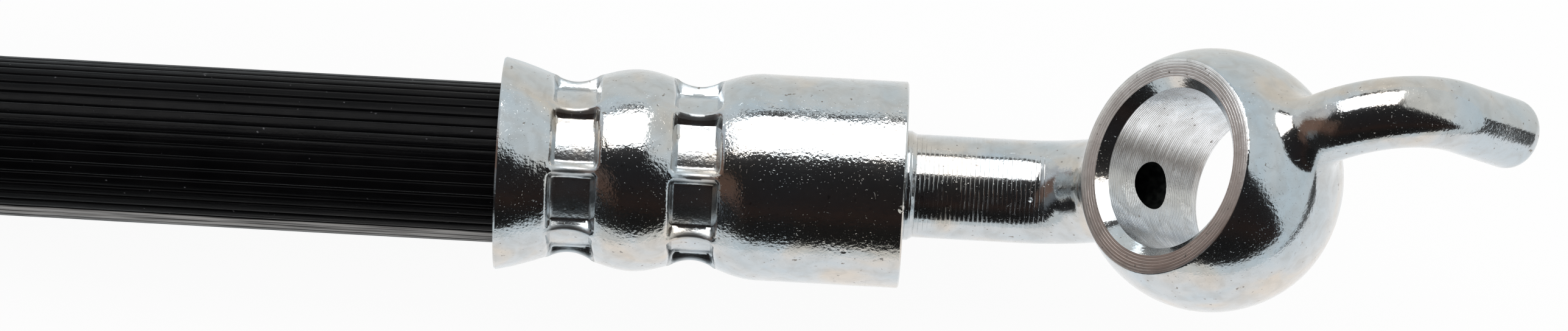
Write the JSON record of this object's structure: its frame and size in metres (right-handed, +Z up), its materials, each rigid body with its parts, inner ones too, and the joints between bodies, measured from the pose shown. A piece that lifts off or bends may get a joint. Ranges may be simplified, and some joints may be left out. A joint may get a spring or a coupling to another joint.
{
  "type": "brake hose",
  "caption": "Car brake hose with crimped ferrules, a bent banjo fitting with a locating tail at one end and a plain female end fitting at the other.",
  "frame": {"origin": "on the surface the hose lies on, under the middle of the banjo end (ferrule and banjo fitting)", "axes": "+X along the first ferrule from the hose to the banjo eye, +Z up, the hose's far end lies towards +Y"},
  "size_m": [0.1539, 0.1072, 0.0253],
  "materials": {
    "ferrule_zinc": "bright zinc plate with pale tan clouds",
    "fitting_zinc": "bright zinc plate over fine turning marks, sealing faces machined",
    "hose_rubber": "black rubber cover with fine lengthwise ribs"
  },
  "bodies": {
    "root": {"banjo_fitting": "fitting_zinc", "crimp_ferrule": "ferrule_zinc", "hose": "hose_rubber", "far_ferrule": "ferrule_zinc", "end_fitting": "fitting_zinc"}
  },
  "joints": []
}
